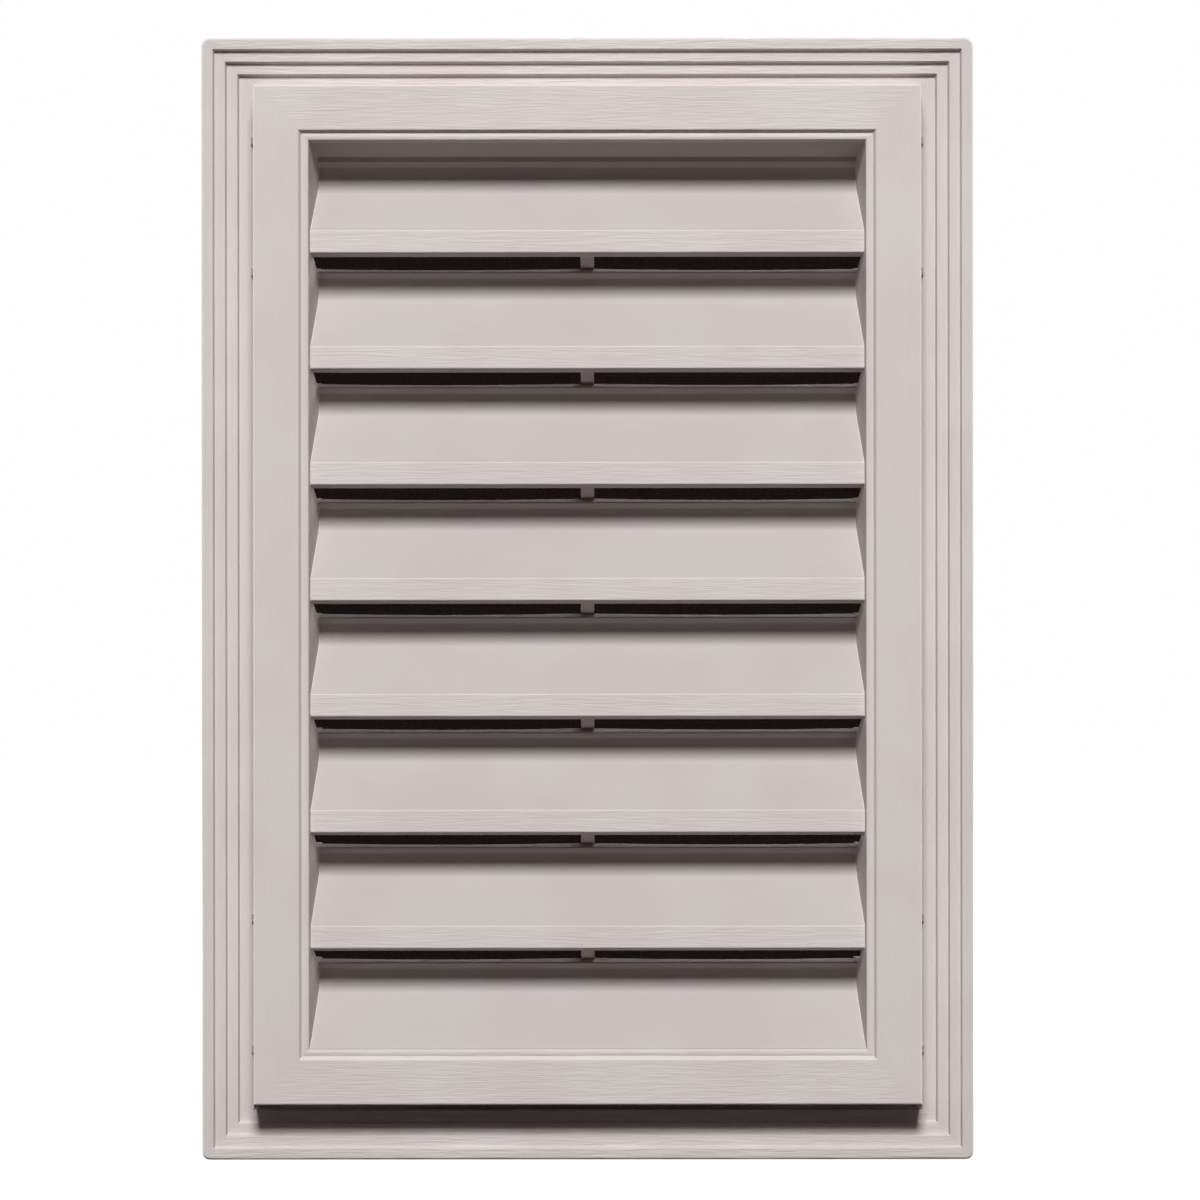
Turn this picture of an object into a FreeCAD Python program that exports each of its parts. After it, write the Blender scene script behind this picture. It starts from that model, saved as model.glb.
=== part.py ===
import FreeCAD, Part
import math
import os

from FreeCAD import Vector

# A rectangular louvered gable vent in moulded plastic. It is two mouldings and a screen: the louver body with
# its nailing flange, a stepped trim ring that snaps round it, and an insect screen staked to its back.
# Millimetres. X runs across, Y runs into the wall, Z runs up. The origin is the centre of the wall face.

# Raised frame of the louver body
frame_width = 304.0
frame_height = 464.0
projection = 44.3  # from the wall face to the front of the frame
body_wall = 2.2
skirt_flare = 0.6  # how far the skirt spreads from the frame's front to its foot
face_width = 21.9
bead_width = 3.2
bead_depth = 1.6  # from the front of the frame back to the bead's crown
bead_run = 1.3  # width of the slope from the frame's front down to the groove beside the bead
bead_groove = 0.5  # from the bead's crown back to that groove
bead_shoulder = 0.4  # from the bead's crown back to the edge of the opening
reveal_draft = 7.5  # degrees that each side of the throat leans in
frame_edge_radius = 1.0
bead_edge_radius = 0.8
bead_groove_radius = 0.3
bead_crown_radius = 2.8
opening_radius = 0.8

# Louvers: each has a rain dam at its back, an inclined slat and a hanging lip at its front
louver_count = 8
lip_recess = 4.7  # from the bead to the lips
louver_depth = 23.3  # from the lips to the fold at the back of the slats
first_bay = 51.1  # from the top of the opening to the first lip's lower edge
last_bay = 45.6  # from the last lip's lower edge to the bottom of the opening
lip_height = 10.2
lip_return_depth = 7.5
lip_return_fall = 1.35
dam_top_reach = 0.1  # from the fold forward to the rear edge of the dam's top
dam_top_fall = 5.9  # from the lip above to the rear edge of the dam's top
dam_nose_reach = 4.6  # from the fold forward to the front edge of the dam's top
dam_nose_fall = 7.75  # from the lip above to the front edge of the dam's top
dam_root_reach = 1.3  # from the fold forward to the root of the nose
dam_root_fall = 10.4  # from the lip above to the root of the nose
fold_fall = 17.5  # from the lip above to the fold between dam and slat
dam_dip = 0.7  # how far each half of a dam's top sags in the middle
nose_radius = 0.5
root_radius = 0.8
fold_radius = 13.0
crease_radius = 0.8
lip_radius = 0.9
head_start = 1.0  # from the bead back to where the head begins to slope
mullion_width = 6.1
pocket_margin = 0.3  # from a louver to the pockets in the sides of the throat

# Nailing flange
flange_width = 22.0
nail_slot_width = 4.5
nail_slot_length = 14.0
head_slot_spacing = 200.0  # between the slots along the top, and along the bottom
side_slot_spacing = 280.0  # between the slots down each side

# Insect screen and the stakes that hold it
screen_setback = 5.7  # from the fold of the slats to the screen
ledge_width = 13.0
screen_thickness = 0.8
screen_margin = 1.6  # from the rim of the ledge to the edge of the screen
screen_columns = 10
screen_rows = 12
screen_ridge = 1.6
stake_diameter = 3.4
stake_head_diameter = 7.0
stake_head_height = 1.2
stake_head_radius = 0.7
stake_clearance = 0.3
stakes_across = 4
stakes_down = 6

# Trim ring
ring_band = 24.3  # from the frame's edge to the ring's outer edge
ring_wall = 2.0
ring_floor_depth = 20.3  # from the front of the frame back to the ring's channel
ring_step_count = 3
ring_step_height = 2.4
ring_step_width = 5.5
ring_rim_width = 5.8
ring_riser_run = 0.7
ring_skirt_depth = 17.2  # from the rim back to the siding
ring_skirt_flare = 0.4
ring_collar_depth = 8.0
ring_gap = 2.1  # all round the body's skirt, before the ring settles
ring_seat = 0.3  # what is left of that gap at the top, where the ring hangs on the body
ring_edge_radius = 0.4
ring_corner_radius = 3.5
ring_rim_radius = 1.2

# Snap lugs on the body's sides and the ring's rails behind them
lug_places = (148.0, 208.0)  # above and below the middle of the frame
lug_length = 3.2
lug_height = 1.7
lug_ramp = 5.0
lug_land = 0.6
lug_clearance = 0.3
rail_clearance = 0.8

# Places that follow from the sizes above. Depths are Y values, and the front is towards minus Y.
opening_width = frame_width - 2 * (face_width + bead_width)
opening_height = frame_height - 2 * (face_width + bead_width)
opening_top = opening_height / 2
frame_front = -projection
bead_front = frame_front + bead_depth
lip_front = bead_front + lip_recess
reveal_lean = math.tan(math.radians(reveal_draft))
lip_count = louver_count - 1
dam_top_depth = louver_depth - dam_top_reach
dam_nose_depth = louver_depth - dam_nose_reach
dam_root_depth = louver_depth - dam_root_reach
screen_depth = louver_depth + screen_setback
screen_front = lip_front + screen_depth
screen_back = screen_front + screen_thickness
louver_pitch = (opening_height - first_bay - last_bay) / (lip_count - 1)
ring_floor = frame_front + ring_floor_depth
ring_rim = ring_floor - ring_step_count * ring_step_height
ring_settle = ring_gap - ring_seat
overlap = body_wall / 2  # how far fused pieces run into each other


def skirt_offset(depth):
    """How far the skirt of the body stands outside the frame's front edge at a depth."""
    return skirt_flare * (depth - frame_front) / (projection - body_wall)


def throat_inset(depth):
    """How far each side of the throat has leaned in at a depth."""
    return (depth - bead_front) * reveal_lean


def unit(vector):
    """A copy of a vector with a length of one."""
    return vector * (1 / vector.Length)


def corner_offset(before, here, after, distance):
    """The corner of a line that runs a distance to the left of two legs that meet."""
    first = unit(here - before)
    second = unit(after - here)
    left_of_first = Vector(-first.y, first.x, 0)
    left_of_second = Vector(-second.y, second.x, 0)
    middle = left_of_first + left_of_second
    return here + middle * (2 * distance / middle.dot(middle))


def end_offset(end, towards, distance):
    """A point a distance to the left of a line's end."""
    along = unit(towards)
    return end + Vector(-along.y, along.x, 0) * distance


def rounded_wire(corners):
    """A closed wire in the XY plane through corners (x, y, radius), each rounded by its own radius."""
    edges = []
    starts = []
    ends = []
    count = len(corners)
    for index, (x, y, radius) in enumerate(corners):
        here = Vector(x, y, 0)
        before = unit(Vector(*corners[index - 1][:2], 0) - here)
        after = unit(Vector(*corners[(index + 1) % count][:2], 0) - here)
        half_angle = before.getAngle(after) / 2
        reach = radius / math.tan(half_angle)
        starts.append(here + before * reach)
        ends.append(here + after * reach)
        if radius > 0:
            middle = here + unit(before + after) * (radius / math.sin(half_angle) - radius)
            edges.append(Part.Arc(starts[-1], middle, ends[-1]).toShape())
    for index in range(count):
        edges.append(Part.makeLine(ends[index], starts[(index + 1) % count]))
    return Part.Wire(Part.__sortEdges__(edges))


def beside(line, distance):
    """Sharp corners (x, y, 0) of a line a distance to the left of a line of (x, y, radius) points."""
    points = [Vector(x, y, 0) for x, y, _ in line]
    moved = [end_offset(points[0], points[1] - points[0], distance)]
    for index in range(1, len(points) - 1):
        moved.append(corner_offset(*points[index - 1 : index + 2], distance))
    moved.append(end_offset(points[-1], points[-1] - points[-2], distance))
    return [(point.x, point.y, 0) for point in moved]


def wall_section(line, thickness):
    """The outline of a wall that lies to the left of a line of (x, y, radius) points."""
    return rounded_wire(line + beside(line, thickness)[::-1])


def framed(section, width, height):
    """Carries a section of (offset, depth) round a rectangle, with mitred corners."""
    start = Vector(width / 2, 0, 0)
    corners = [
        Vector(width / 2, 0, height / 2),
        Vector(-width / 2, 0, height / 2),
        Vector(-width / 2, 0, -height / 2),
        Vector(width / 2, 0, -height / 2),
    ]
    path = Part.makePolygon([start] + corners + [start])
    profile = section.translated(start)
    right_corner = 1
    return path.makePipeShell([profile], True, False, right_corner)


def block(x_range, y_range, z_range):
    """A box between two values on each axis."""
    low = Vector(x_range[0], y_range[0], z_range[0])
    return Part.makeBox(
        x_range[1] - x_range[0],
        y_range[1] - y_range[0],
        z_range[1] - z_range[0],
        low,
    )


def across(outline, width):
    """Runs an outline of (depth behind the lips, height) across the vent, centred on X."""
    upright = FreeCAD.Matrix(0, 0, 1, -width / 2, 1, 0, 0, lip_front, 0, 1, 0, 0, 0, 0, 0, 1)
    face = Part.Face(outline.transformGeometry(upright))
    return face.extrude(Vector(width, 0, 0))


def upright(side, outline, start, length):
    """Runs an outline of (distance from the middle, depth) up from a height, on one side of the vent."""
    corners = [Vector(side * x, y, start) for x, y in outline]
    return Part.Face(Part.makePolygon(corners + corners[:1])).extrude(Vector(0, 0, length))


def lip_edge(index):
    """Height of the edge above louver number index: the top of the opening, then each lip's lower edge."""
    if index == 0:
        return opening_top
    return opening_top - first_bay - (index - 1) * louver_pitch


def dam_points(edge):
    """The rain dam below an edge: its top runs down to the nose, its face back to the root and the fold."""
    return [
        (dam_top_depth, edge - dam_top_fall, 0),
        (dam_nose_depth, edge - dam_nose_fall, nose_radius),
        (dam_root_depth, edge - dam_root_fall, root_radius),
        (louver_depth, edge - fold_fall, fold_radius),
    ]


def fold_place():
    """The fold's place among the points of a louver's line, where it is the last of the dam's."""
    return len(dam_points(opening_top)) - 1


def fitted_fold(root, fold, slat_end):
    """The fold with its radius held to the room on the dam's face, clear of the root's own rounding."""
    here = Vector(*fold[:2], 0)
    face = Vector(*root[:2], 0) - here
    slat = Vector(*slat_end[:2], 0) - here
    room = face.Length - root_radius / 2
    radius = min(fold_radius, room * math.tan(face.getAngle(slat) / 2))
    return (here.x, here.y, radius)


def louver_line(index):
    """The front of one louver: dam, slat, lip and its return. The lowest slat ends in the sill instead."""
    line = dam_points(lip_edge(index))
    if index < lip_count:
        edge = lip_edge(index + 1)
        line.append((0, edge + lip_height, crease_radius))
        line.append((0, edge, lip_radius))
        line.append((lip_return_depth, edge - lip_return_fall, 0))
    else:
        line.append((overlap - lip_recess, -opening_top - overlap, 0))
    fold = fold_place()
    line[fold] = fitted_fold(*line[fold - 1 : fold + 2])
    return line


def louver(index):
    """One louver across the throat. Below the first, each half of the dam's top is dipped."""
    line = louver_line(index)
    back = beside(line, body_wall)
    solid = across(rounded_wire(line + back[fold_place() :][::-1] + back[:1]), frame_width)
    if index == 0:
        return solid
    return solid.cut([dam_hollow(index, -1), dam_hollow(index, 1)])


def dam_hollow(index, side):
    """A shallow round hollow that dips half of a dam's top, from the mullion to one side of the throat."""
    half_span = (opening_width - mullion_width) / 4
    middle = side * (mullion_width / 2 + half_span)
    top = lip_edge(index) - dam_top_fall
    radius = (half_span**2 + dam_dip**2) / (2 * dam_dip)
    depth = lip_front + dam_nose_depth - overlap
    length = louver_depth + body_wall - dam_nose_depth
    centre = Vector(middle, depth, top - dam_dip + radius)
    return Part.makeCylinder(radius, length, centre, Vector(0, 1, 0))


def head():
    """The wedge that closes the top of the throat down to the nose of the first dam."""
    front = dam_nose_depth + nose_radius
    rear = louver_depth + overlap
    outline = [
        (head_start - lip_recess, opening_top, 0),
        (front, opening_top - dam_top_fall, 0),
        (front, opening_top - dam_nose_fall, 0),
        (rear, opening_top - dam_root_fall, 0),
        (rear, opening_top, 0),
    ]
    return across(rounded_wire(outline), frame_width)


def mullion():
    """The post behind the lips. Its front runs inside the louvers' walls, and its back meets the screen."""
    outline = [(dam_top_depth, opening_top, 0)]
    for index in range(louver_count):
        outline += beside(louver_line(index), overlap)
    outline.append((screen_depth, -opening_top, 0))
    outline.append((screen_depth, opening_top, 0))
    return across(rounded_wire(outline), mullion_width)


def side_backing(side):
    """A second wall outside one side of the throat, for the pockets to be cut into."""
    rear = screen_front - overlap
    outer = opening_width / 2 + body_wall
    outline = [(outer, rear), (outer, lip_front)]
    for depth in (lip_front, rear):
        outline.append((opening_width / 2 - throat_inset(depth) + overlap, depth))
    return upright(side, outline, -opening_top, opening_height)


def slot_pocket(index):
    """The space behind slot number index, as wide as the opening, so that the slot runs past the reveals."""
    edge = lip_edge(index)
    above = louver_line(index - 1)
    behind = beside(above, body_wall + pocket_margin)
    fold = fold_place()
    top = edge - dam_top_fall + pocket_margin
    rear = screen_depth + overlap
    outline = [
        (above[-1][0] + pocket_margin, above[-1][1], 0),
        (dam_nose_depth, edge - dam_nose_fall + pocket_margin, 0),
        (dam_top_depth, top, 0),
        (rear, top, 0),
        (rear, behind[fold][1], 0),
    ]
    outline += behind[fold:-1]
    outline.append((behind[-1][0] + pocket_margin, behind[-1][1], 0))
    return across(rounded_wire(outline), opening_width)


def throat():
    """The drafted space inside the frame, enlarged into the walls, to which the louvers are trimmed."""
    wires = []
    for depth in (bead_front, screen_front):
        half_x = opening_width / 2 - throat_inset(depth) + overlap
        half_z = opening_height / 2 - throat_inset(depth) + overlap
        corners = [(-half_x, -half_z), (half_x, -half_z), (half_x, half_z), (-half_x, half_z)]
        loop = [Vector(x, depth, z) for x, z in corners]
        wires.append(Part.makePolygon(loop + loop[:1]))
    return Part.makeLoft(wires, True, True)


def frame_shell():
    """Flange, skirt, face, rounded bead, throat and screen ledge, as one wall carried round the opening."""
    edge = face_width + bead_width
    flange_front = -body_wall
    foot = edge + skirt_offset(flange_front)
    inset = throat_inset(screen_front)
    shoulder = bead_front + bead_shoulder
    outside = [
        (edge + flange_width, flange_front, 0),
        (foot, flange_front, 0),
        (edge, frame_front, frame_edge_radius),
        (bead_width + bead_run, frame_front, bead_edge_radius),
        (bead_width, bead_front + bead_groove, bead_groove_radius),
    ]
    crown = [(bead_width / 2, bead_front, bead_crown_radius)]
    inside = [
        (-throat_inset(shoulder), shoulder, opening_radius),
        (-inset, screen_front, 0),
        (ledge_width - inset, screen_front, 0),
    ]
    behind = beside(outside + inside, -body_wall)
    section = rounded_wire(outside + crown + inside + behind[::-1])
    return framed(section, opening_width, opening_height)


def nail_slot(x, z, along):
    """A long hole through the flange, running along a direction."""
    radius = nail_slot_width / 2
    straight = nail_slot_length - nail_slot_width
    start = Vector(x, -body_wall - overlap, z) - along * (straight / 2)
    side = along.cross(Vector(0, 1, 0)) * radius
    loop = [start + side, start + along * straight + side, start + along * straight - side, start - side]
    run = Vector(0, body_wall + 2 * overlap, 0)
    slot = Part.Face(Part.makePolygon(loop + loop[:1])).extrude(run)
    for end in (start, start + along * straight):
        slot = slot.fuse(Part.makeCylinder(radius, run.Length, end, run))
    return slot


def nail_slots():
    """Two slots in each of the four strips of the flange, on the strip's middle line."""
    middle = (flange_width + skirt_offset(-body_wall)) / 2
    side_x = frame_width / 2 + middle
    head_z = frame_height / 2 + middle
    slots = []
    for first in (-1, 1):
        for second in (-1, 1):
            slots.append(nail_slot(first * head_slot_spacing / 2, second * head_z, Vector(1, 0, 0)))
            slots.append(nail_slot(first * side_x, second * side_slot_spacing / 2, Vector(0, 0, 1)))
    return slots


def stake_places():
    """Where the screen is staked: along the ledge, outside the pockets, and down the mullion."""
    ledge_middle = (ledge_width - throat_inset(screen_front)) / 2
    side_x = opening_width / 2 + ledge_middle
    end_z = opening_height / 2 + ledge_middle
    places = []
    for step in range(stakes_across):
        x = side_x * (2 * step / (stakes_across - 1) - 1)
        places.append((x, end_z))
        places.append((x, -end_z))
    for step in range(1, stakes_down):
        z = end_z * (2 * step / stakes_down - 1)
        places.append((side_x, z))
        places.append((-side_x, z))
        places.append((0, z))
    return places


def stake(x, z):
    """A pin through the screen with its melted head behind it."""
    backwards = Vector(0, 1, 0)
    foot = Vector(x, screen_front - overlap, z)
    pin = Part.makeCylinder(stake_diameter / 2, screen_thickness + 2 * overlap, foot, backwards)
    seat = Vector(x, screen_back, z)
    knob = Part.makeCylinder(stake_head_diameter / 2, stake_head_height, seat, backwards)
    rim = [edge for edge in knob.Edges if edge.CenterOfMass.y > screen_back + stake_head_height / 2]
    round_edges = [edge for edge in rim if edge.Closed and len(edge.Vertexes) == 1]
    return pin.fuse(knob.makeFillet(stake_head_radius, round_edges))


def lug(side, place):
    """A snap lug on the skirt: a ramp from the front that ends in a step behind which the ring is caught."""
    step = ring_floor - lug_clearance
    skirt = frame_width / 2 + skirt_offset(step)
    outline = [
        (skirt - overlap, step - lug_ramp - lug_land),
        (skirt + skirt_offset(step - lug_ramp) - skirt_offset(step), step - lug_ramp - lug_land),
        (skirt + lug_height, step - lug_land),
        (skirt + lug_height, step),
        (skirt - overlap, step),
    ]
    return upright(side, outline, place - lug_length / 2, lug_length)


def lug_points():
    """Each lug as its side of the frame and its height."""
    points = []
    for side in (-1, 1):
        for place in lug_places:
            points.append((side, place))
            points.append((side, -place))
    return points


def louver_body():
    """The louvered moulding in one piece."""
    louvers = [louver(index) for index in range(louver_count)]
    bank = head().fuse(louvers + [mullion()]).common(throat())
    shell = frame_shell().fuse([side_backing(-1), side_backing(1)])
    shell = shell.cut([slot_pocket(index) for index in range(1, louver_count)])
    body = shell.fuse(bank)
    body = body.cut(nail_slots())
    body = body.fuse([stake(x, z) for x, z in stake_places()])
    body = body.fuse([lug(side, place) for side, place in lug_points()])
    return body.removeSplitter()


def insect_screen():
    """The screen as one thin wall with a grid of gaps, and a hole round each stake."""
    half_x = opening_width / 2 - throat_inset(screen_front) + ledge_width - screen_margin
    half_z = opening_height / 2 - throat_inset(screen_front) + ledge_width - screen_margin
    sheet = block((-half_x, half_x), (screen_front, screen_back), (-half_z, half_z))
    clear_x = opening_width - 2 * throat_inset(screen_front)
    clear_z = opening_height - 2 * throat_inset(screen_front)
    cell_x = (clear_x - mullion_width) / screen_columns
    cell_z = clear_z / screen_rows
    cuts = []
    for column in range(screen_columns):
        side = -1 if column < screen_columns / 2 else 1
        x = (column + 0.5 - screen_columns / 2) * cell_x + side * mullion_width / 2
        for row in range(screen_rows):
            z = (row + 0.5 - screen_rows / 2) * cell_z
            half_gap_x = (cell_x - screen_ridge) / 2
            half_gap_z = (cell_z - screen_ridge) / 2
            cuts.append(
                block(
                    (x - half_gap_x, x + half_gap_x),
                    (screen_front - overlap, screen_back + overlap),
                    (z - half_gap_z, z + half_gap_z),
                )
            )
    hole_radius = stake_diameter / 2 + stake_clearance
    for x, z in stake_places():
        foot = Vector(x, screen_front - overlap, z)
        cuts.append(Part.makeCylinder(hole_radius, screen_thickness + 2 * overlap, foot, Vector(0, 1, 0)))
    return sheet.cut(cuts)


def ring_line():
    """The ring's front surface from its collar out to its skirt, as offsets from the frame's edge."""
    inner = skirt_offset(ring_floor) + ring_gap
    line = [
        (inner, ring_floor + ring_collar_depth, 0),
        (inner, ring_floor, ring_edge_radius),
    ]
    rim_foot = ring_band - ring_rim_width
    for step in range(ring_step_count):
        foot = rim_foot - (ring_step_count - 1 - step) * ring_step_width
        level = ring_floor - step * ring_step_height
        line.append((foot, level, ring_edge_radius))
        line.append((foot + ring_riser_run, level - ring_step_height, ring_edge_radius))
    line.append((ring_band, ring_rim, 0))
    line.append((ring_band + ring_skirt_flare, ring_rim + ring_skirt_depth, 0))
    return line


def rail(side):
    """A ledge down one side of the ring that reaches in from the collar, behind the lugs."""
    inner = frame_width / 2 + skirt_offset(ring_floor + ring_wall) + rail_clearance
    outer_offset = skirt_offset(ring_floor) + ring_gap + ring_wall / 2
    half_length = frame_height / 2 + outer_offset
    reach = sorted((side * inner, side * (frame_width / 2 + outer_offset)))
    return block(reach, (ring_floor, ring_floor + ring_wall), (-half_length, half_length))


def trim_ring():
    """The stepped surround, settled on the body, with rounded outer corners."""
    ring = framed(wall_section(ring_line(), ring_wall), frame_width, frame_height)
    ring = ring.fuse([rail(-1), rail(1)])
    half_x = frame_width / 2 + ring_band
    half_z = frame_height / 2 + ring_band
    slack = ring_skirt_flare + ring_wall / 4
    corners = []
    for edge in ring.Edges:
        middle = edge.CenterOfMass
        outside = abs(abs(middle.x) - half_x) < slack and abs(abs(middle.z) - half_z) < slack
        if outside and edge.BoundBox.YLength > ring_skirt_depth / 2:
            corners.append(edge)
    ring = ring.makeFillet(ring_corner_radius, corners)
    rim = []
    for edge in ring.Edges:
        middle = edge.BoundBox.Center
        at_rim = edge.BoundBox.YLength < ring_wall / 4 and abs(middle.y - ring_rim) < ring_wall / 4
        on_side = abs(middle.x) > half_x - ring_corner_radius
        on_end = abs(middle.z) > half_z - ring_corner_radius
        if at_rim and (on_side or on_end):
            rim.append(edge)
    ring = ring.makeFillet(ring_rim_radius, rim).removeSplitter()
    return ring.translated(Vector(0, 0, -ring_settle))


def main():
    os.makedirs("parts", exist_ok=True)
    louver_body().exportStep("parts/louver_body.step")
    trim_ring().exportStep("parts/trim_ring.step")
    insect_screen().exportStep("parts/insect_screen.step")


main()
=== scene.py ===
import math

import bpy
import numpy as np
from bpy.props import FloatProperty, FloatVectorProperty, PointerProperty
from mathutils import Euler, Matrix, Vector


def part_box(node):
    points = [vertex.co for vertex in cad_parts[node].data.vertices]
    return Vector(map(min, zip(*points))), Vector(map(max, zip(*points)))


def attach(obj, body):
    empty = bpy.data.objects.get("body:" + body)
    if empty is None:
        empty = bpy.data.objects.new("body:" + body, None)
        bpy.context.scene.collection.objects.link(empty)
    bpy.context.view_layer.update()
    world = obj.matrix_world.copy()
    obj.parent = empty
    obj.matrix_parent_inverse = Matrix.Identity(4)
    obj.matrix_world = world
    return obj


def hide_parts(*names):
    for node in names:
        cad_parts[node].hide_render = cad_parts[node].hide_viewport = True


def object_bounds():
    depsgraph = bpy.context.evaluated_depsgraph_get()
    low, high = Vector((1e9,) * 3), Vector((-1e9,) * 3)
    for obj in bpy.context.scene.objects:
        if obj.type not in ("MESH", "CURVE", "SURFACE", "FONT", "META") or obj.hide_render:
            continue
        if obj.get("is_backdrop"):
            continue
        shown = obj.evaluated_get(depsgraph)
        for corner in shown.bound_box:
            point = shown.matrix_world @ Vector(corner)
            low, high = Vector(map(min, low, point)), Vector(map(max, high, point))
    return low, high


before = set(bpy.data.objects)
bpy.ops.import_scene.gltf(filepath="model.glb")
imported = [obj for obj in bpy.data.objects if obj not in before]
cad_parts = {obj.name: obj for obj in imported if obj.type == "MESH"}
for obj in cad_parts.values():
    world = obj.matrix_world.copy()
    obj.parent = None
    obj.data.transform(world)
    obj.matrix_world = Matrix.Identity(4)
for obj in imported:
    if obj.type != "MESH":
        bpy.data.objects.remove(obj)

bl_info = {
    "name": "Gable Vent",
    "version": (1, 0, 0),
    "blender": (4, 5, 0),
    "location": "View3D > Sidebar > Gable Vent",
    "description": "Grained plastic, fine insect screen and studio for a louvered gable vent",
    "category": "Object",
}

# The boxes of the imported louver body and screen, which the finish, the screen and the card follow
bpy.context.view_layer.update()
BODY_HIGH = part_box("louver_body")[1]
SCREEN_LOW, SCREEN_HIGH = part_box("insect_screen")

# Places on the louver body that the finish follows, in metres
MITRE_OFFSET = BODY_HIGH.z - BODY_HIGH.x  # the frame's corners lie where |z| - |x| has this value
OPENING_HALF_WIDTH = 0.1269
OPENING_HALF_HEIGHT = 0.2069
FRAME_HALF_WIDTH = 0.1523
FRAME_HALF_HEIGHT = 0.2323
LIP_BACK = -0.0378  # just behind the front faces of the lips
LAST_LIP = -0.1612  # just below the lower edge of the lowest lip
BEAD_FRONT = -0.0427
MITRE_FADE = 0.006  # how far from a mitre line the grain has its full strength
GRAIN_AT_MITRE = 0.35  # share of the grain on the mitre lines themselves
SLAT_PAINTED_SHADE = 0.78  # painted shade: how light the slats are coloured beside the frame
RING_TONE = 0.955  # how light the trim ring is beside the frame
WALL_LEAN = 0.1317  # how far each side of the throat leans in for each metre of depth
WALL_MARGIN = 0.0003  # from a side of the throat to where the slats' painted shade begins

# Make-up of the plastic's finish
SWAY_LENGTHS = 4.0  # grain lengths from one bend of the grain to the next
SWAY_SPACINGS = 8.0  # grain spacings that bend together
SWAY = 3.0  # grain spacings that a bend reaches
BROAD_LENGTHS = 2.5  # grain lengths in one of the broader lines among the grain
BROAD_SPACINGS = 2.6  # grain spacings from one broader line to the next
FINE_SHARE = 0.65  # share of the fine lines in the relief, with the broader ones as the rest
GRAIN_RANGE = (0.32, 0.68)  # values of the noise at the foot and at the top of the grain
GRAIN_TONE = 0.055  # how much lighter the top of the grain is than its foot
FOOT_ROUGHNESS = 0.08  # added to the roughness at the foot of the grain
GRAIN_SHEEN = 0.12  # how much less rough the top of the grain is than its foot
CLOUDS_PER_METRE = 20.0
CLOUD_RANGE = (0.38, 0.62)  # values of the noise where a cloud begins and where it is whole
SPECKS_PER_METRE = 2600.0
SPECK_HEIGHT = 0.08  # beside the height of the grain
PLASTIC_SHINE = 0.1

# Make-up of the screen
DUST_PER_METRE = 90.0
DUST_LIGHTNESS = 1.8  # how many times as light as the strands the dust is
STRAND_ROUGHNESS = 0.7
DUST_ROUGHNESS = 0.2  # added to it where there is dust
STRAND_SHINE = 0.08
STRAND_SIDES = 6
STRAND_NESTING = 0.8  # how far behind the middle the level strands lie, in strand radii

# Places on the stage, in metres from the middle of the vent, and sizes there
BACK_LIGHT_PLACE = (0.9, 2.4, 1.5)
BACK_LIGHT_SIZE = (1.6, 1.2)
SIDE_LIGHT_PLACE = (2.4, 0.3, 0.8)
SIDE_LIGHT_SIZE = (0.5, 1.2)
FLOOR_REACH = 6.0
FLOOR_FADE = (0.3, 1.3)  # how far out the floor begins to brighten and where it is white
FLOOR_GLOW = 0.78  # the floor's own brightness beside the vent
FLOOR_BOUNCE = 0.03  # share of the light that the floor throws on the vent
FLOOR_SHADE = 0.35  # share of the light that the floor shows, which makes the shadow
# Painted shade: the black of the card behind the screen stands in for the darkness behind the vent
SHADE_CARD_COLOUR = (0.010, 0.006, 0.005, 1.0)
WHITE = (1.0, 1.0, 1.0, 1.0)
CAMERA_X = 0.0057
CAMERA_Z = -0.00245
SENSOR_WIDTH = 36.0  # in millimetres, as the lens is
PICTURE_WIDTH = 1200.0  # in pixels


class PlasticSettings(bpy.types.PropertyGroup):
    """Moulded plastic of the louver body and the trim ring."""

    colour: FloatVectorProperty(
        name="Colour",
        description="Main colour of the plastic",
        subtype="COLOR",
        size=3,
        min=0.0,
        max=1.0,
        default=(0.579, 0.499, 0.473),
    )
    cool_colour: FloatVectorProperty(
        name="Cool Colour",
        description="Colour of the faint cooler clouds in the plastic",
        subtype="COLOR",
        size=3,
        min=0.0,
        max=1.0,
        default=(0.589, 0.523, 0.496),
    )
    grain_spacing: FloatProperty(
        name="Grain Spacing",
        description="Distance from one embossed grain line to the next",
        unit="LENGTH",
        subtype="DISTANCE",
        min=0.0002,
        default=0.0009,
    )
    grain_length: FloatProperty(
        name="Grain Length",
        description="Usual length of an embossed grain line",
        unit="LENGTH",
        subtype="DISTANCE",
        min=0.001,
        default=0.013,
    )
    grain_depth: FloatProperty(
        name="Grain Depth",
        description="Depth of the embossed grain",
        unit="LENGTH",
        subtype="DISTANCE",
        min=0.0,
        default=0.00008,
    )
    grain_on_slats: FloatProperty(
        name="Grain on Slats",
        description="Share of the grain that the smoother slats and side walls carry",
        subtype="FACTOR",
        min=0.0,
        max=1.0,
        default=0.15,
    )
    grain_on_uprights: FloatProperty(
        name="Grain on Uprights",
        description="Share of the grain that the stiles and the ring's sides carry",
        subtype="FACTOR",
        min=0.0,
        max=1.0,
        default=0.48,
    )
    grain_on_ring: FloatProperty(
        name="Grain on Ring",
        description="How many times as strong the grain is on the trim ring as on the frame",
        min=0.0,
        default=1.7,
    )
    roughness: FloatProperty(
        name="Roughness",
        description="Roughness of the plastic between the grain lines",
        subtype="FACTOR",
        min=0.0,
        max=1.0,
        default=0.52,
    )


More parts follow.
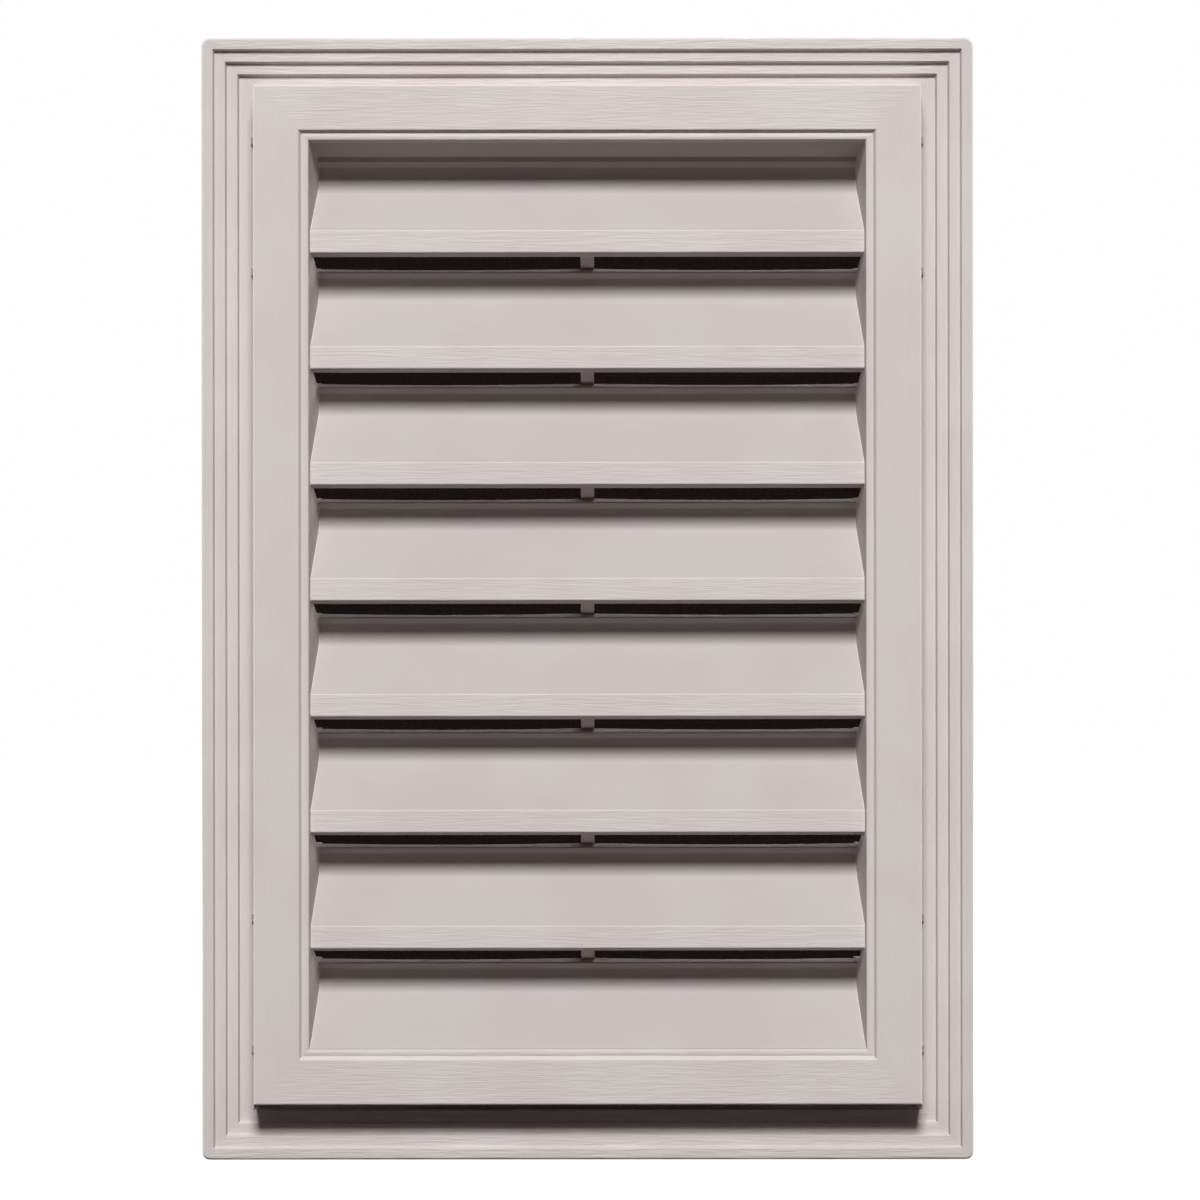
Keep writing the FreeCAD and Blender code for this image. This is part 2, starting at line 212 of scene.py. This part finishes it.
class ScreenSettings(bpy.types.PropertyGroup):
    """Insect screen behind the louvers."""

    pitch: FloatProperty(
        name="Strand Pitch",
        description="Distance from one strand to the next",
        unit="LENGTH",
        subtype="DISTANCE",
        min=0.0008,
        default=0.0016,
    )
    strand_diameter: FloatProperty(
        name="Strand Diameter",
        description="Diameter of a coated strand",
        unit="LENGTH",
        subtype="DISTANCE",
        min=0.0001,
        max=0.0004,
        default=0.00036,
    )
    border_width: FloatProperty(
        name="Border Width",
        description="Width of the flat border round the screen",
        unit="LENGTH",
        subtype="DISTANCE",
        min=0.001,
        default=0.0035,
    )
    colour: FloatVectorProperty(
        name="Colour",
        description="Colour of the coated strands",
        subtype="COLOR",
        size=3,
        min=0.0,
        max=1.0,
        default=(0.012, 0.010, 0.0095),
    )


class StageSettings(bpy.types.PropertyGroup):
    """Camera, floor and lights."""

    camera_distance: FloatProperty(
        name="Camera Distance",
        description="From the front of the frame to the camera",
        unit="LENGTH",
        subtype="DISTANCE",
        min=0.5,
        default=2.4,
    )
    pixels_per_metre: FloatProperty(
        name="Pixels per Metre",
        description="Scale of the picture, 1200 pixels wide, at the front of the frame",
        min=1.0,
        default=2200.0,
    )
    roll: FloatProperty(
        name="Camera Roll",
        description="How far the camera leans about its own axis",
        subtype="ANGLE",
        default=math.radians(0.05),
    )
    key_elevation: FloatProperty(
        name="Key Elevation",
        description="Angle of the main light above the horizon",
        subtype="ANGLE",
        default=math.radians(39.6),
    )
    key_distance: FloatProperty(
        name="Key Distance",
        description="From the vent to the main light",
        unit="LENGTH",
        subtype="DISTANCE",
        min=1.0,
        default=6.5,
    )
    key_width: FloatProperty(
        name="Key Width",
        description="Width of the main light",
        unit="LENGTH",
        subtype="DISTANCE",
        min=0.1,
        default=1.8,
    )
    key_height: FloatProperty(
        name="Key Height",
        description="Height of the main light",
        unit="LENGTH",
        subtype="DISTANCE",
        min=0.1,
        default=1.6,
    )
    key_power: FloatProperty(
        name="Key Power",
        description="Power of the main light in watts",
        min=0.0,
        default=592.0,
    )
    back_power: FloatProperty(
        name="Back Power",
        description="Power of the light behind the vent in watts",
        min=0.0,
        default=93.0,
    )
    side_power: FloatProperty(
        name="Side Power",
        description="Power of the light at each side of the vent in watts",
        min=0.0,
        default=46.5,
    )
    light_colour: FloatVectorProperty(
        name="Light Colour",
        description="Colour of the studio lights, a little cool as daylight is",
        subtype="COLOR",
        size=3,
        min=0.0,
        max=1.0,
        default=(0.930, 0.977, 1.0),
    )
    ambient: FloatProperty(
        name="Ambient",
        description="Brightness of the room round the object",
        min=0.0,
        default=0.02,
    )


def add_node(tree, kind, inputs=None, **settings):
    """Adds a node, sets its options, and links or sets each named or numbered input."""
    node = tree.nodes.new(kind)
    for option, value in settings.items():
        setattr(node, option, value)
    for key, value in (inputs or {}).items():
        socket = node.inputs[key]
        if isinstance(value, bpy.types.NodeSocket):
            tree.links.new(value, socket)
        else:
            socket.default_value = value
    return node


def maths(tree, operation, *values):
    """The output of a Math node on sockets or numbers."""
    node = add_node(tree, "ShaderNodeMath", dict(enumerate(values)), operation=operation)
    return node.outputs[0]


def blend_value(tree, share, low, high):
    """A number that goes from low to high as share goes from 0 to 1."""
    node = add_node(
        tree,
        "ShaderNodeMix",
        {"Factor": share, "A": low, "B": high},
        data_type="FLOAT",
    )
    return node.outputs[0]


def blend_colour(tree, share, low, high):
    """A colour that goes from low to high as share goes from 0 to 1."""
    node = add_node(tree, "ShaderNodeMix", {0: share, 6: low, 7: high}, data_type="RGBA")
    return node.outputs[2]


def ease(tree, value, start, end, low=0.0, high=1.0):
    """A number that eases from low to high as value goes from start to end."""
    node = add_node(
        tree,
        "ShaderNodeMapRange",
        {"Value": value, "From Min": start, "From Max": end, "To Min": low, "To Max": high},
        interpolation_type="SMOOTHSTEP",
    )
    return node.outputs[0]


def noise(tree, vector, detail, roughness):
    """A smooth noise from 0 to 1 with one feature per unit of the vector."""
    node = add_node(
        tree,
        "ShaderNodeTexNoise",
        {"Vector": vector, "Scale": 1.0, "Detail": detail, "Roughness": roughness},
    )
    return node.outputs[0]


def even_noise(tree, place, per_metre, detail, roughness):
    """A noise that is alike in all directions, with so many features per metre."""
    scaled = add_node(tree, "ShaderNodeMapping", {"Vector": place, "Scale": (per_metre,) * 3}).outputs[0]
    return noise(tree, scaled, detail, roughness)


def grain_vector(tree, along, across, depth, length, spacing):
    """Coordinates that count grain lengths along the grain and grain spacings across it."""
    node = add_node(
        tree,
        "ShaderNodeCombineXYZ",
        {
            "X": maths(tree, "DIVIDE", along, length),
            "Y": maths(tree, "DIVIDE", across, spacing),
            "Z": maths(tree, "DIVIDE", depth, spacing),
        },
    )
    return node.outputs[0]


def new_material(name):
    """An empty node material with its output and principled shader."""
    material = bpy.data.materials.new(name)
    material.use_nodes = True
    tree = material.node_tree
    tree.nodes.clear()
    output = tree.nodes.new("ShaderNodeOutputMaterial")
    shader = tree.nodes.new("ShaderNodeBsdfPrincipled")
    tree.links.new(shader.outputs[0], output.inputs["Surface"])
    return material, tree, shader


def rgba(colour):
    """A colour with an alpha of one."""
    return (*colour, 1.0)


def grained_plastic(settings):
    """Moulded plastic with an embossed wood grain.

    The grain runs across on the rails, the lips and the ring's top and bottom, and up on the rest. It changes along
    the mitre lines, where |z| - |x| is half of the body's height less its width. It is noise drawn out along the
    grain and bent by a slower noise. It is stronger on the ring, weaker on the uprights and at the mitre lines, and
    weakest on the slats and the side walls of the throat.
    """
    material, tree, shader = new_material("grained_plastic_finish")
    place = add_node(tree, "ShaderNodeTexCoord").outputs["Object"]
    axes = add_node(tree, "ShaderNodeSeparateXYZ", {"Vector": place}).outputs
    x, y, z = axes[0], axes[1], axes[2]
    side = maths(tree, "ABSOLUTE", x)
    height = maths(tree, "ABSOLUTE", z)
    past_mitre = maths(tree, "SUBTRACT", maths(tree, "SUBTRACT", height, side), MITRE_OFFSET)
    on_rail = maths(tree, "GREATER_THAN", past_mitre, 0.0)
    inside = maths(
        tree,
        "MULTIPLY",
        maths(tree, "LESS_THAN", side, OPENING_HALF_WIDTH),
        maths(tree, "LESS_THAN", height, OPENING_HALF_HEIGHT),
    )
    level = maths(tree, "MAXIMUM", on_rail, inside)
    along = blend_value(tree, level, z, x)
    across = blend_value(tree, level, x, z)
    behind_lips = maths(tree, "GREATER_THAN", y, LIP_BACK)
    below_lips = maths(tree, "LESS_THAN", z, LAST_LIP)
    smooth = maths(tree, "MULTIPLY", inside, maths(tree, "MAXIMUM", behind_lips, below_lips))
    strength = blend_value(tree, level, settings.grain_on_uprights, 1.0)
    on_ring = maths(
        tree,
        "MAXIMUM",
        maths(tree, "GREATER_THAN", side, FRAME_HALF_WIDTH),
        maths(tree, "GREATER_THAN", height, FRAME_HALF_HEIGHT),
    )
    strength = maths(tree, "MULTIPLY", strength, blend_value(tree, on_ring, 1.0, settings.grain_on_ring))
    from_mitre = ease(tree, maths(tree, "ABSOLUTE", past_mitre), 0.0, MITRE_FADE, GRAIN_AT_MITRE)
    strength = maths(tree, "MULTIPLY", strength, maths(tree, "MAXIMUM", from_mitre, inside))
    strength = blend_value(tree, smooth, strength, settings.grain_on_slats)
    lean = maths(tree, "MULTIPLY", maths(tree, "SUBTRACT", y, BEAD_FRONT), WALL_LEAN)
    wall = maths(tree, "SUBTRACT", OPENING_HALF_WIDTH - WALL_MARGIN, lean)
    # Painted shade: this marks the slats, not the side walls, whose colour is darkened below
    slat_shade_mask = maths(tree, "MULTIPLY", smooth, maths(tree, "LESS_THAN", side, wall))

    spacing = settings.grain_spacing
    length = settings.grain_length
    sway_place = grain_vector(tree, along, across, y, length * SWAY_LENGTHS, spacing * SWAY_SPACINGS)
    sway = noise(tree, sway_place, detail=1.0, roughness=0.5)
    bent = maths(tree, "ADD", across, maths(tree, "MULTIPLY", sway, spacing * SWAY))
    fine = noise(tree, grain_vector(tree, along, bent, y, length, spacing), detail=2.0, roughness=0.6)
    broad_place = grain_vector(tree, along, bent, y, length * BROAD_LENGTHS, spacing * BROAD_SPACINGS)
    broad = noise(tree, broad_place, detail=2.0, roughness=0.55)
    raised = maths(
        tree,
        "ADD",
        maths(tree, "MULTIPLY", fine, FINE_SHARE),
        maths(tree, "MULTIPLY", broad, 1.0 - FINE_SHARE),
    )
    grain = ease(tree, raised, *GRAIN_RANGE)
    shown_grain = maths(tree, "MULTIPLY", grain, strength)

    clouds = ease(tree, even_noise(tree, place, CLOUDS_PER_METRE, detail=3.0, roughness=0.5), *CLOUD_RANGE)
    colour = blend_colour(tree, clouds, rgba(settings.colour), rgba(settings.cool_colour))
    tone = maths(tree, "ADD", maths(tree, "MULTIPLY", shown_grain, GRAIN_TONE), 1.0 - GRAIN_TONE / 2)
    # Painted shade: the slats' colour is darkened here
    tone = maths(tree, "MULTIPLY", tone, blend_value(tree, slat_shade_mask, 1.0, SLAT_PAINTED_SHADE))
    tone = maths(tree, "MULTIPLY", tone, blend_value(tree, on_ring, 1.0, RING_TONE))
    lifted = add_node(tree, "ShaderNodeHueSaturation", {"Value": tone, "Color": colour}).outputs[0]
    tree.links.new(lifted, shader.inputs["Base Color"])

    specks = even_noise(tree, place, SPECKS_PER_METRE, detail=1.0, roughness=0.5)
    relief = maths(tree, "ADD", shown_grain, maths(tree, "MULTIPLY", specks, SPECK_HEIGHT))
    bump = add_node(
        tree,
        "ShaderNodeBump",
        {"Strength": 1.0, "Distance": settings.grain_depth, "Height": relief},
    ).outputs[0]
    tree.links.new(bump, shader.inputs["Normal"])
    sheen = maths(tree, "MULTIPLY", shown_grain, GRAIN_SHEEN)
    dull = maths(tree, "SUBTRACT", settings.roughness + FOOT_ROUGHNESS, sheen)
    tree.links.new(dull, shader.inputs["Roughness"])
    shader.inputs["Specular IOR Level"].default_value = PLASTIC_SHINE
    return material


def screen_mesh_finish(settings):
    """Black coated strands with a faint dusty variation along them."""
    material, tree, shader = new_material("screen_mesh_finish")
    place = add_node(tree, "ShaderNodeTexCoord").outputs["Object"]
    dust = even_noise(tree, place, DUST_PER_METRE, detail=3.0, roughness=0.6)
    dusty = tuple(DUST_LIGHTNESS * channel for channel in settings.colour)
    colour = blend_colour(tree, dust, rgba(settings.colour), rgba(dusty))
    tree.links.new(colour, shader.inputs["Base Color"])
    dull = maths(tree, "ADD", maths(tree, "MULTIPLY", dust, DUST_ROUGHNESS), STRAND_ROUGHNESS)
    tree.links.new(dull, shader.inputs["Roughness"])
    shader.inputs["Specular IOR Level"].default_value = STRAND_SHINE
    return material


def mesh_object(name, points, faces, material):
    """A mesh object at the origin from arrays of points and of faces."""
    mesh = bpy.data.meshes.new(name)
    mesh.from_pydata(points.tolist(), [], faces.tolist())
    mesh.materials.append(material)
    mesh.update()
    made = bpy.data.objects.new(name, mesh)
    bpy.context.scene.collection.objects.link(made)
    return made


def strands(positions, low, high, depth, radius, sides, upright):
    """Straight round strands side by side.

    Strand i is a tube: at angle t its section is (position[i] + radius cos t, depth + radius sin t), carried from
    low to high along Z if upright and along X if not. A fan of four-sided faces closes each end, so the number of
    sides is even.
    """
    angle = np.arange(sides) * (2 * math.pi / sides)
    count = len(positions)
    place = np.broadcast_to(positions[:, None, None], (count, 2, sides)) + radius * np.cos(angle)
    back = np.broadcast_to(depth + radius * np.sin(angle), (count, 2, sides))
    run = np.broadcast_to(np.array([low, high])[None, :, None], (count, 2, sides))
    order = (place, back, run) if upright else (run, back, place)
    points = np.stack(order, axis=-1).reshape(-1, 3)
    here = np.arange(sides)
    after = (here + 1) % sides
    walls = np.stack([here, after, sides + after, sides + here], axis=-1)
    step = np.arange(1, sides - 1, 2)
    fan = np.stack([np.zeros_like(step), step, step + 1, step + 2], axis=-1)
    tube = np.concatenate([walls, fan[:, ::-1], fan + sides])
    if not upright:
        tube = tube[:, ::-1]
    faces = (np.arange(count) * 2 * sides)[:, None, None] + tube
    return points, faces.reshape(-1, 4)


def flat_border(half_width, half_height, width, front, back):
    """A flat border round a rectangle: a four-sided section carried round the four mitred corners."""
    inner = np.array([half_width - width, half_height - width])
    outer = np.array([half_width, half_height])
    corner_signs = np.array([[1, 1], [-1, 1], [-1, -1], [1, -1]])
    section = ((outer, front), (outer, back), (inner, back), (inner, front))
    rings = [np.insert(corner_signs * half, 1, depth, axis=1) for half, depth in section]
    points = np.concatenate(rings)
    ring = np.arange(4)[:, None]
    corner = np.arange(4)[None, :]
    next_ring = (ring + 1) % 4
    next_corner = (corner + 1) % 4
    faces = np.stack(
        [next_ring * 4 + corner, next_ring * 4 + next_corner, ring * 4 + next_corner, ring * 4 + corner],
        axis=-1,
    )
    return points, faces.reshape(-1, 4)


class VENT_OT_finish_plastic(bpy.types.Operator):
    """Give the louver body and the trim ring their grained plastic"""

    bl_idname = "vent.finish_plastic"
    bl_label = "Finish Plastic"

    def execute(self, context):
        material = grained_plastic(context.scene.vent_plastic)
        for name in ("louver_body", "trim_ring"):
            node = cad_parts[name]
            node.material_slots[0].material = material
        return {"FINISHED"}


class VENT_OT_make_screen(bpy.types.Operator):
    """Make the fine insect screen that stands for the coarse one"""

    bl_idname = "vent.make_screen"
    bl_label = "Make Insect Screen"

    def execute(self, context):
        settings = context.scene.vent_screen
        half_width = SCREEN_HIGH.x
        half_height = SCREEN_HIGH.z
        front = SCREEN_LOW.y
        back = SCREEN_HIGH.y
        radius = settings.strand_diameter / 2
        columns = np.arange(-half_width + settings.pitch, half_width, settings.pitch)
        columns += (half_width - columns[-1] - settings.pitch) / 2
        rows = np.arange(-half_height + settings.pitch, half_height, settings.pitch)
        rows += (half_height - rows[-1] - settings.pitch) / 2
        middle = (front + back) / 2
        inset = settings.border_width / 2
        top = half_height - inset
        side = half_width - inset
        behind = middle + radius * STRAND_NESTING
        upright = strands(columns, -top, top, middle - radius, radius, STRAND_SIDES, True)
        level = strands(rows, -side, side, behind, radius, STRAND_SIDES, False)
        thickness = settings.strand_diameter
        border = flat_border(half_width, half_height, settings.border_width, middle - thickness, middle + thickness)
        points = []
        faces = []
        start = 0
        for part_points, part_faces in (upright, level, border):
            points.append(part_points)
            faces.append(part_faces + start)
            start += len(part_points)
        screen = mesh_object(
            "insect_screen_mesh",
            np.concatenate(points),
            np.concatenate(faces),
            screen_mesh_finish(settings),
        )
        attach(screen, "root")
        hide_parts("insect_screen")
        return {"FINISHED"}


def aim(thing, target):
    """Turns a light so that it shines at a point."""
    away = Vector(target) - thing.location
    thing.rotation_euler = away.to_track_quat("-Z", "Y").to_euler()


def soft_light(name, location, target, size, power, colour):
    """A rectangular soft light that shines at a point."""
    data = bpy.data.lights.new(name, "AREA")
    data.color = colour
    data.shape = "RECTANGLE"
    data.size, data.size_y = size
    data.energy = power
    lamp = bpy.data.objects.new(name, data)
    bpy.context.scene.collection.objects.link(lamp)
    lamp.location = location
    aim(lamp, target)
    return lamp


def seen_directly(tree):
    """One for camera, mirror and glass rays, and nought for the rays that carry light."""
    path = add_node(tree, "ShaderNodeLightPath").outputs
    seen = maths(tree, "MAXIMUM", path["Is Camera Ray"], path["Is Glossy Ray"])
    return maths(tree, "MAXIMUM", seen, path["Is Transmission Ray"])


def white_room(ambient):
    """A world that is white to look at and gives a plain even light."""
    world = bpy.data.worlds.new("white_room")
    world.use_nodes = True
    tree = world.node_tree
    tree.nodes.clear()
    glow = add_node(
        tree,
        "ShaderNodeBackground",
        {"Color": WHITE, "Strength": blend_value(tree, seen_directly(tree), ambient, 1.0)},
    )
    add_node(tree, "ShaderNodeOutputWorld", {"Surface": glow.outputs[0]})
    bpy.context.scene.world = world


def floor_finish():
    """A pale floor that looks white where it is lit and keeps the shadow of what stands on it."""
    material = bpy.data.materials.new("floor_finish")
    material.use_nodes = True
    tree = material.node_tree
    tree.nodes.clear()
    seen = seen_directly(tree)
    place = add_node(tree, "ShaderNodeTexCoord").outputs["Object"]
    away = add_node(tree, "ShaderNodeVectorMath", {0: place}, operation="LENGTH").outputs["Value"]
    far = ease(tree, away, *FLOOR_FADE, FLOOR_GLOW)
    shade = blend_value(tree, seen, FLOOR_BOUNCE, FLOOR_SHADE)
    tone = add_node(tree, "ShaderNodeCombineColor", {"Red": shade, "Green": shade, "Blue": shade}).outputs[0]
    matt = add_node(tree, "ShaderNodeBsdfDiffuse", {"Color": tone}).outputs[0]
    glow = add_node(
        tree,
        "ShaderNodeEmission",
        {"Color": WHITE, "Strength": maths(tree, "MULTIPLY", seen, far)},
    ).outputs[0]
    both = add_node(tree, "ShaderNodeAddShader", {0: matt, 1: glow}).outputs[0]
    add_node(tree, "ShaderNodeOutputMaterial", {"Surface": both})
    return material


def dark_card_finish():
    """A card of painted shade, black to look at from the front where it stands for the darkness behind the vent,
    and not there from behind or for light.
    """
    material = bpy.data.materials.new("dark_card_finish")
    material.use_nodes = True
    tree = material.node_tree
    tree.nodes.clear()
    from_behind = add_node(tree, "ShaderNodeNewGeometry").outputs["Backfacing"]
    looked_at = add_node(tree, "ShaderNodeLightPath").outputs["Is Camera Ray"]
    shown = maths(tree, "MULTIPLY", looked_at, maths(tree, "SUBTRACT", 1.0, from_behind))
    black = add_node(tree, "ShaderNodeEmission", {"Color": SHADE_CARD_COLOUR, "Strength": 1.0}).outputs[0]
    clear = add_node(tree, "ShaderNodeBsdfTransparent").outputs[0]
    mixed = add_node(tree, "ShaderNodeMixShader", {0: shown, 1: clear, 2: black}).outputs[0]
    add_node(tree, "ShaderNodeOutputMaterial", {"Surface": mixed})
    return material


class VENT_OT_set_stage(bpy.types.Operator):
    """Set up the floor, the black card of painted shade behind the screen, the lights and the camera"""

    bl_idname = "vent.set_stage"
    bl_label = "Set Stage"

    def execute(self, context):
        settings = context.scene.vent_stage
        low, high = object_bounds()
        corner_signs = np.array([[-1, -1], [1, -1], [1, 1], [-1, 1]])
        one_face = np.array([[0, 1, 2, 3]])
        floor_points = np.insert(corner_signs * FLOOR_REACH, 2, low.z, axis=1)
        floor = mesh_object("floor", floor_points, one_face, floor_finish())
        floor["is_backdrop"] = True
        # Painted shade: a black card behind the screen stands in for the darkness behind the vent
        card_half = np.array([SCREEN_HIGH.x, SCREEN_HIGH.z])
        card_points = np.insert(corner_signs * card_half, 1, SCREEN_HIGH.y / 2, axis=1)
        card = mesh_object("dark_card", card_points, one_face, dark_card_finish())
        card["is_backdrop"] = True

        centre = Vector((0.0, (low.y + high.y) / 2, 0.0))
        elevation = settings.key_elevation
        towards_key = Vector((0.0, -math.cos(elevation), math.sin(elevation)))
        key_place = centre + towards_key * settings.key_distance
        key_size = (settings.key_width, settings.key_height)
        colour = settings.light_colour
        soft_light("key_light", key_place, centre, key_size, settings.key_power, colour)
        back_place = centre + Vector(BACK_LIGHT_PLACE)
        soft_light("back_light", back_place, centre, BACK_LIGHT_SIZE, settings.back_power, colour)
        right, behind, above = SIDE_LIGHT_PLACE
        for side, name in ((-1, "left_light"), (1, "right_light")):
            side_place = centre + Vector((side * right, behind, above))
            soft_light(name, side_place, centre, SIDE_LIGHT_SIZE, settings.side_power, colour)
        white_room(settings.ambient)

        camera_data = bpy.data.cameras.new("camera")
        camera_data.sensor_width = SENSOR_WIDTH
        camera_data.lens = settings.pixels_per_metre * settings.camera_distance * SENSOR_WIDTH / PICTURE_WIDTH
        camera = bpy.data.objects.new("camera", camera_data)
        context.scene.collection.objects.link(camera)
        camera.location = (CAMERA_X, low.y - settings.camera_distance, CAMERA_Z)
        camera.rotation_euler = Euler((math.pi / 2, settings.roll, 0.0))
        context.scene.camera = camera
        context.scene.view_settings.view_transform = "Standard"
        return {"FINISHED"}


class VENT_PT_panel(bpy.types.Panel):
    """Gable vent tools"""

    bl_label = "Gable Vent"
    bl_idname = "VENT_PT_panel"
    bl_space_type = "VIEW_3D"
    bl_region_type = "UI"
    bl_category = "Gable Vent"

    def draw(self, context):
        for group in (context.scene.vent_plastic, context.scene.vent_screen, context.scene.vent_stage):
            box = self.layout.box()
            for name in group.__annotations__:
                box.prop(group, name)
        for step in STEPS:
            self.layout.operator(step.bl_idname)


STEPS = (VENT_OT_finish_plastic, VENT_OT_make_screen, VENT_OT_set_stage)
CLASSES = (PlasticSettings, ScreenSettings, StageSettings, *STEPS, VENT_PT_panel)


def register():
    """Registers the classes and puts the settings on the scene."""
    for part in CLASSES:
        bpy.utils.register_class(part)
    bpy.types.Scene.vent_plastic = PointerProperty(type=PlasticSettings)
    bpy.types.Scene.vent_screen = PointerProperty(type=ScreenSettings)
    bpy.types.Scene.vent_stage = PointerProperty(type=StageSettings)


def unregister():
    """Takes the settings and the classes away again."""
    del bpy.types.Scene.vent_stage
    del bpy.types.Scene.vent_screen
    del bpy.types.Scene.vent_plastic
    for part in reversed(CLASSES):
        bpy.utils.unregister_class(part)


def main():
    """Runs every step in order."""
    register()
    bpy.ops.vent.finish_plastic()
    bpy.ops.vent.make_screen()
    bpy.ops.vent.set_stage()


if __name__ == "__main__":
    main()
